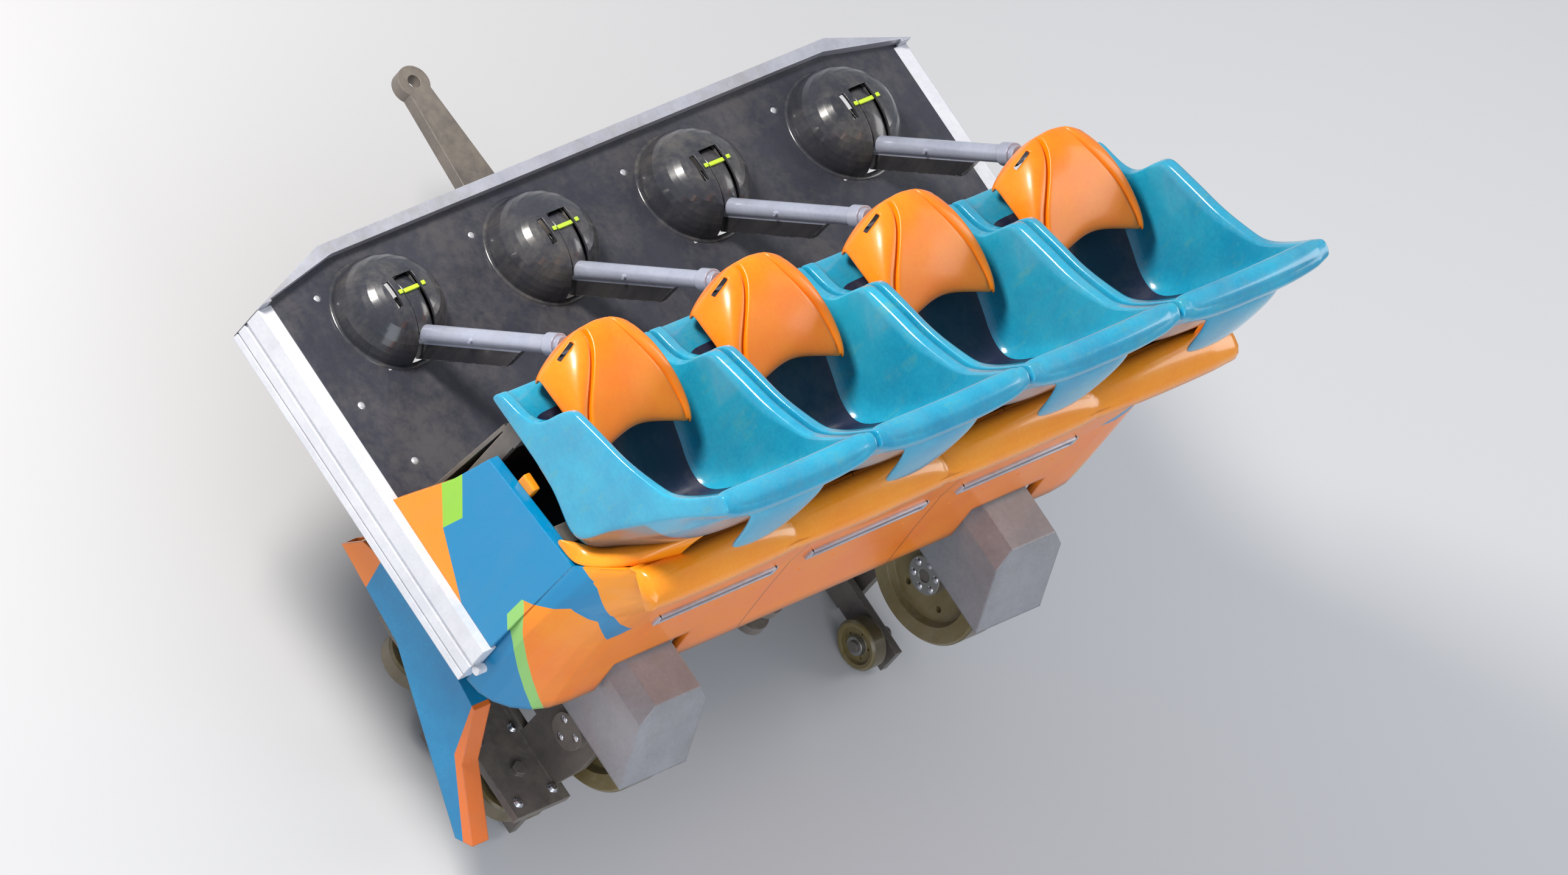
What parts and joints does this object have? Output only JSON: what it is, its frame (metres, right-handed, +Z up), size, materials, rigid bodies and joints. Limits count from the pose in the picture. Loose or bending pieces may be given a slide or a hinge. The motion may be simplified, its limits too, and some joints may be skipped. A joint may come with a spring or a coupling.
{
  "type": "roller coaster car",
  "caption": "Open roller coaster car with a row of moulded bucket seats, swinging lap bars on floor pivots, and wheel carriers that wrap tubular rails",
  "frame": {"origin": "middle of the overall box, on the ground the parked car stands on", "axes": "+X forward along the direction of travel, +Y to the riders' left, +Z up"},
  "size_m": [2.1299, 2.48, 2.016],
  "materials": {
    "seat_teal": "gloss moulded shell",
    "orange_gloss": "gloss moulded shell",
    "flank_paint": "gloss paint over moulded shell",
    "floor_dark": "dark coated sheet",
    "hump_dark": "dark gloss moulding",
    "rim_light": "satin",
    "sill_white": "gloss paint",
    "frame_grey": "satin paint",
    "housing_grey": "satin paint",
    "bar_grey": "satin paint",
    "fin_steel": "bare plate",
    "tyre_polyurethane": "satin cast tyre on a metal hub"
  },
  "bodies": {
    "car_body": {"chassis_spine": "frame_grey", "cross_frame": "frame_grey", "axle_beam": "frame_grey", "brake_fin": "fin_steel", "knuckle_left": "frame_grey", "knuckle_right": "frame_grey", "carrier_left": "frame_grey", "carrier_right": "frame_grey", "wheel_housing_left": "housing_grey", "wheel_housing_right": "housing_grey", "fairing_left": "flank_paint", "fairing_right": "flank_paint", "floor_pan": "floor_dark", "floor_rim": "rim_light", "side_sills": "sill_white", "humps": "hump_dark", "pivot_brackets": "frame_grey", "tub": "orange_gloss", "flank_left": "flank_paint", "flank_right": "flank_paint", "seat_frame": "frame_grey", "seat_1": "seat_teal", "seat_2": "seat_teal", "seat_3": "seat_teal", "seat_4": "seat_teal"},
    "lap_bar_1": {"lap_arm_1": "bar_grey", "lap_pad_1": "orange_gloss"},
    "lap_bar_2": {"lap_arm_2": "bar_grey", "lap_pad_2": "orange_gloss"},
    "lap_bar_3": {"lap_arm_3": "bar_grey", "lap_pad_3": "orange_gloss"},
    "lap_bar_4": {"lap_arm_4": "bar_grey", "lap_pad_4": "orange_gloss"},
    "road_wheel_left_front": {"road_wheel_left_front": "tyre_polyurethane"},
    "road_wheel_left_rear": {"road_wheel_left_rear": "tyre_polyurethane"},
    "road_wheel_right_front": {"road_wheel_right_front": "tyre_polyurethane"},
    "road_wheel_right_rear": {"road_wheel_right_rear": "tyre_polyurethane"},
    "guide_wheel_left_front": {"guide_wheel_left_front": "tyre_polyurethane"},
    "guide_wheel_left_rear": {"guide_wheel_left_rear": "tyre_polyurethane"},
    "guide_wheel_right_front": {"guide_wheel_right_front": "tyre_polyurethane"},
    "guide_wheel_right_rear": {"guide_wheel_right_rear": "tyre_polyurethane"},
    "upstop_wheel_left_front": {"upstop_wheel_left_front": "tyre_polyurethane"},
    "upstop_wheel_left_rear": {"upstop_wheel_left_rear": "tyre_polyurethane"},
    "upstop_wheel_right_front": {"upstop_wheel_right_front": "tyre_polyurethane"},
    "upstop_wheel_right_rear": {"upstop_wheel_right_rear": "tyre_polyurethane"}
  },
  "joints": [
    {"name": "lap_bar_1_swing", "type": "hinge", "parent": "car_body", "child": "lap_bar_1", "pos_m": [0.285, 0.87, 0.918], "axis": [0, 1, 0], "range_deg": [0, 45.5]},
    {"name": "lap_bar_2_swing", "type": "hinge", "parent": "car_body", "child": "lap_bar_2", "pos_m": [0.285, 0.29, 0.918], "axis": [0, 1, 0], "range_deg": [0, 45.5]},
    {"name": "lap_bar_3_swing", "type": "hinge", "parent": "car_body", "child": "lap_bar_3", "pos_m": [0.285, -0.29, 0.918], "axis": [0, 1, 0], "range_deg": [0, 45.5]},
    {"name": "lap_bar_4_swing", "type": "hinge", "parent": "car_body", "child": "lap_bar_4", "pos_m": [0.285, -0.87, 0.918], "axis": [0, 1, 0], "range_deg": [0, 45.5]},
    {"name": "road_wheel_left_front_spin", "type": "hinge", "parent": "car_body", "child": "road_wheel_left_front", "pos_m": [-0.385, 0.645, 0.529], "axis": [0, 1, 0], "continuous": true},
    {"name": "road_wheel_left_rear_spin", "type": "hinge", "parent": "car_body", "child": "road_wheel_left_rear", "pos_m": [-0.835, 0.645, 0.529], "axis": [0, 1, 0], "continuous": true},
    {"name": "road_wheel_right_front_spin", "type": "hinge", "parent": "car_body", "child": "road_wheel_right_front", "pos_m": [-0.385, -0.645, 0.529], "axis": [0, 1, 0], "continuous": true},
    {"name": "road_wheel_right_rear_spin", "type": "hinge", "parent": "car_body", "child": "road_wheel_right_rear", "pos_m": [-0.835, -0.645, 0.529], "axis": [0, 1, 0], "continuous": true},
    {"name": "guide_wheel_left_front_spin", "type": "hinge", "parent": "car_body", "child": "guide_wheel_left_front", "pos_m": [-0.395, 0.842, 0.237], "axis": [0, 0, 1], "continuous": true},
    {"name": "guide_wheel_left_rear_spin", "type": "hinge", "parent": "car_body", "child": "guide_wheel_left_rear", "pos_m": [-0.825, 0.842, 0.237], "axis": [0, 0, 1], "continuous": true},
    {"name": "guide_wheel_right_front_spin", "type": "hinge", "parent": "car_body", "child": "guide_wheel_right_front", "pos_m": [-0.395, -0.842, 0.237], "axis": [0, 0, 1], "continuous": true},
    {"name": "guide_wheel_right_rear_spin", "type": "hinge", "parent": "car_body", "child": "guide_wheel_right_rear", "pos_m": [-0.825, -0.842, 0.237], "axis": [0, 0, 1], "continuous": true},
    {"name": "upstop_wheel_left_front_spin", "type": "hinge", "parent": "car_body", "child": "upstop_wheel_left_front", "pos_m": [-0.405, 0.66, 0.075], "axis": [0, 1, 0], "continuous": true},
    {"name": "upstop_wheel_left_rear_spin", "type": "hinge", "parent": "car_body", "child": "upstop_wheel_left_rear", "pos_m": [-0.815, 0.66, 0.075], "axis": [0, 1, 0], "continuous": true},
    {"name": "upstop_wheel_right_front_spin", "type": "hinge", "parent": "car_body", "child": "upstop_wheel_right_front", "pos_m": [-0.405, -0.66, 0.075], "axis": [0, 1, 0], "continuous": true},
    {"name": "upstop_wheel_right_rear_spin", "type": "hinge", "parent": "car_body", "child": "upstop_wheel_right_rear", "pos_m": [-0.815, -0.66, 0.075], "axis": [0, 1, 0], "continuous": true}
  ]
}
